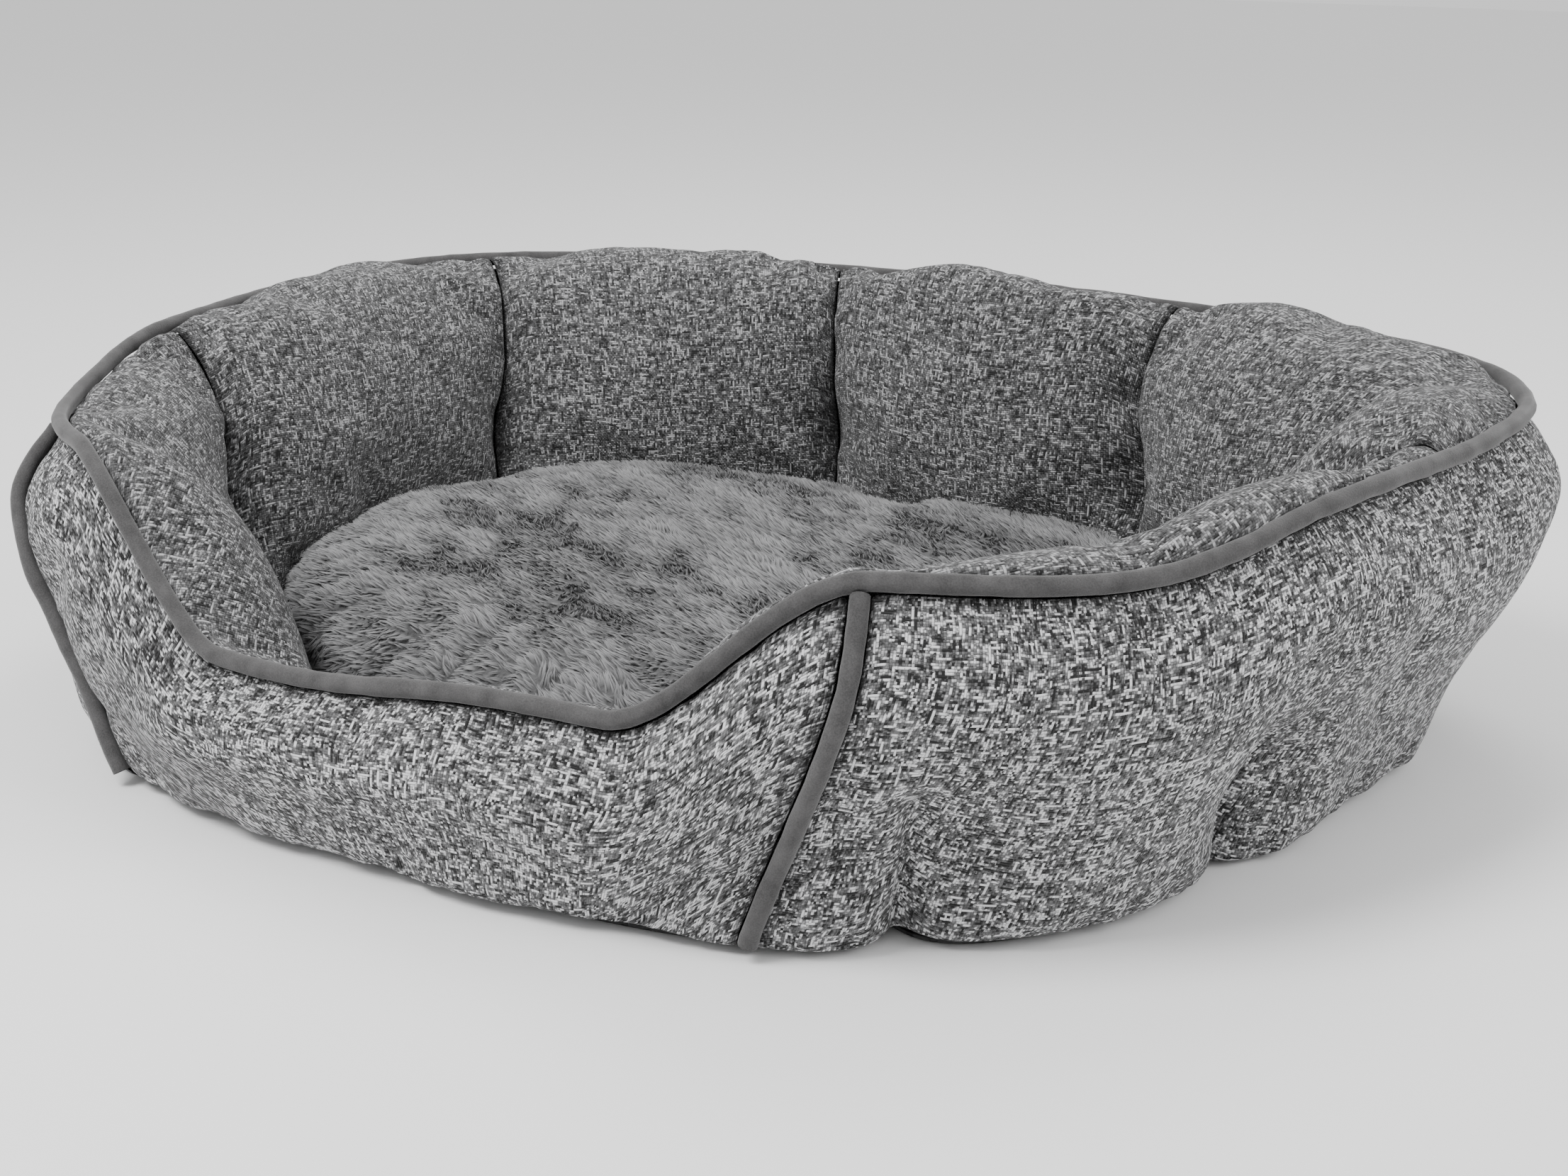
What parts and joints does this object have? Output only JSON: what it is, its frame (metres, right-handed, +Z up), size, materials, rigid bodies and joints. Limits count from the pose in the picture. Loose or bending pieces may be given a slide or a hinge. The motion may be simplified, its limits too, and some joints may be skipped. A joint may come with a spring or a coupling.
{
  "type": "pet cushion bed",
  "caption": "Oval pet bed: a padded fabric ring with a low front entry and dark velour piping, on a flat base, with a loose plush cushion inside.",
  "frame": {"origin": "middle of the bed's outline, on the floor that it rests on", "axes": "+X to the bed's right, along its length; -Y is the side of the low entry; +Z up"},
  "size_m": [0.7527, 0.5776, 0.1939],
  "materials": {
    "woven_outer": "grey slubby linen-look weave, matte, strong light and dark yarns",
    "woven_inner": "the same grey weave, a little softer and lighter, matte",
    "piping_velour": "dark warm-grey velour with a faint sheen",
    "plush": "short mid-grey plush pile with a lay",
    "base_cloth": "dark non-slip backing cloth with small grip dots",
    "lining": "plain grey lining cloth",
    "stuffing": "white polyester fibre",
    "piping_cord": "off-white twisted filler cord",
    "thread": "dark waxed tie thread"
  },
  "bodies": {
    "bed": {"base_bottom_panel": "base_cloth", "base_wadding": "stuffing", "base_lining": "lining", "outer_entry_panel": "woven_outer", "outer_ring_panel": "woven_outer", "inner_panel_left": "woven_inner", "inner_panel_back_left": "woven_inner", "inner_panel_back": "woven_inner", "inner_panel_back_right": "woven_inner", "inner_panel_right": "woven_inner", "inner_panel_entry": "woven_inner", "stuffing_front_left": "stuffing", "stuffing_left": "stuffing", "stuffing_back_left": "stuffing", "stuffing_back": "stuffing", "stuffing_back_right": "stuffing", "stuffing_right": "stuffing", "stuffing_front_right": "stuffing", "stuffing_entry": "stuffing", "tuft_ties": "thread", "rim_piping_cover": "piping_velour", "rim_piping_cord": "piping_cord", "left_corner_piping_cover": "piping_velour", "left_corner_piping_cord": "piping_cord", "right_corner_piping_cover": "piping_velour", "right_corner_piping_cord": "piping_cord"},
    "cushion": {"cushion_plush_top": "plush", "cushion_woven_base": "woven_outer", "cushion_filling": "stuffing"}
  },
  "joints": [
    {"name": "cushion_lift", "type": "slide", "parent": "bed", "child": "cushion", "axis": [0, 0, 1], "range_m": [0, 0.26]}
  ]
}
